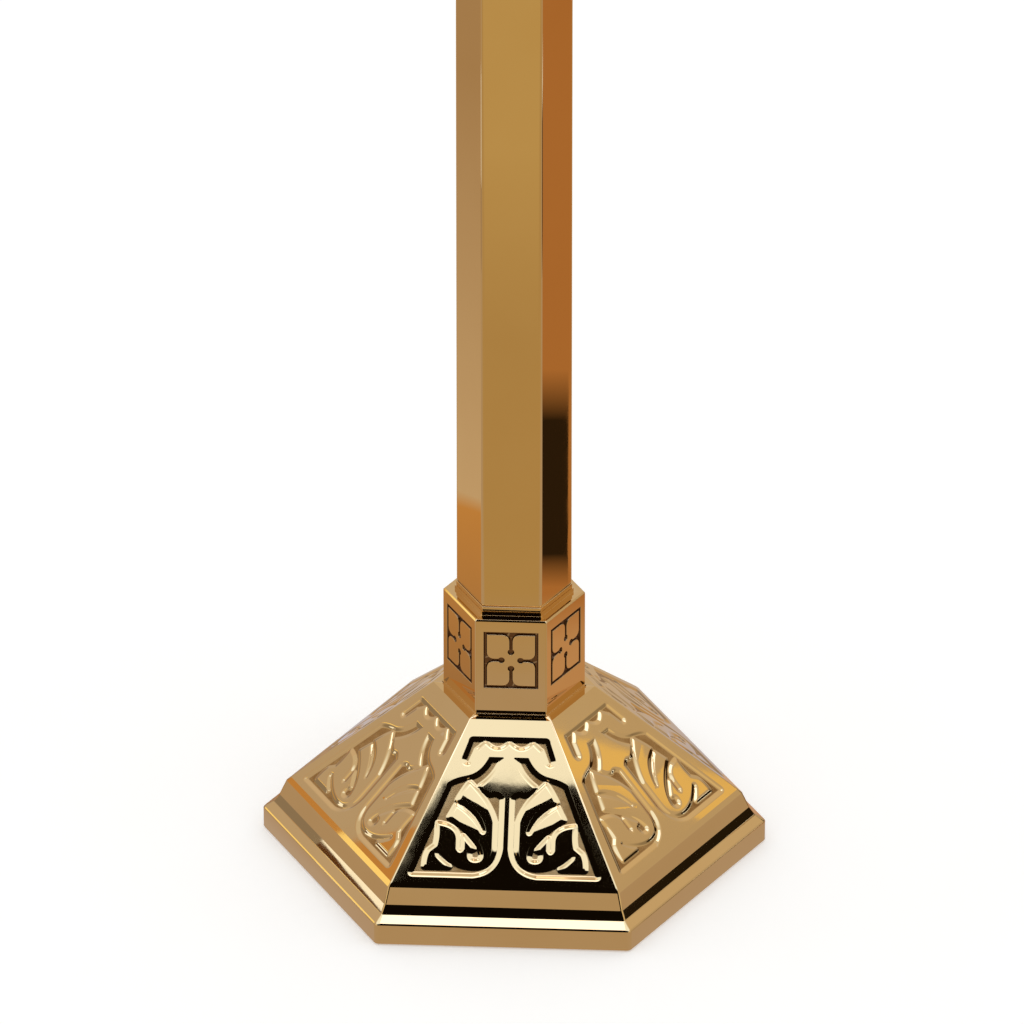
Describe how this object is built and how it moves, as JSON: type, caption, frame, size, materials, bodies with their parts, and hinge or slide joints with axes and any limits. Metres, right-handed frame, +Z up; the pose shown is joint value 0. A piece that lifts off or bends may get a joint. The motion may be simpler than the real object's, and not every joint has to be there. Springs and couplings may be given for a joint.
{
  "type": "processional torch",
  "caption": "Tall hexagonal processional torch with candle socket and drip pan, whose spigot lifts out of a weighted hexagonal stand with sunk leaf relief.",
  "frame": {"origin": "centre of the stand's underside, on the surface that it stands on", "axes": "+Z up along the shaft, -Y out of the stand's front panel, +X to the right of that panel, towards a corner of the hexagon"},
  "size_m": [0.254, 0.22, 1.1182],
  "materials": {
    "polished_brass": "polished and lacquered",
    "bush_bronze": "turned",
    "steel": "zinc plated",
    "iron": "black painted casting",
    "felt": "green felt"
  },
  "bodies": {
    "stand": {"base_casting": "polished_brass", "base_collar": "polished_brass", "collar_dowels": "steel", "socket_tube": "polished_brass", "upper_bush": "bush_bronze", "lower_bush": "bush_bronze", "crown_washer": "steel", "crown_nut": "polished_brass", "ballast_weight": "iron", "bottom_plate": "steel", "plate_screws": "steel", "felt_pad": "felt"},
    "torch": {"shaft_tube": "polished_brass", "shaft_spigot": "polished_brass", "tie_rod": "steel", "spigot_washer": "steel", "spigot_nut": "steel", "top_plug": "polished_brass", "top_collar": "polished_brass", "drip_pan": "polished_brass", "candle_socket": "polished_brass", "cup_washer": "steel", "cup_nut": "steel"}
  },
  "joints": [
    {"name": "torch_lift", "type": "slide", "parent": "stand", "child": "torch", "axis": [0, 0, 1], "range_m": [0, 0.106]}
  ]
}
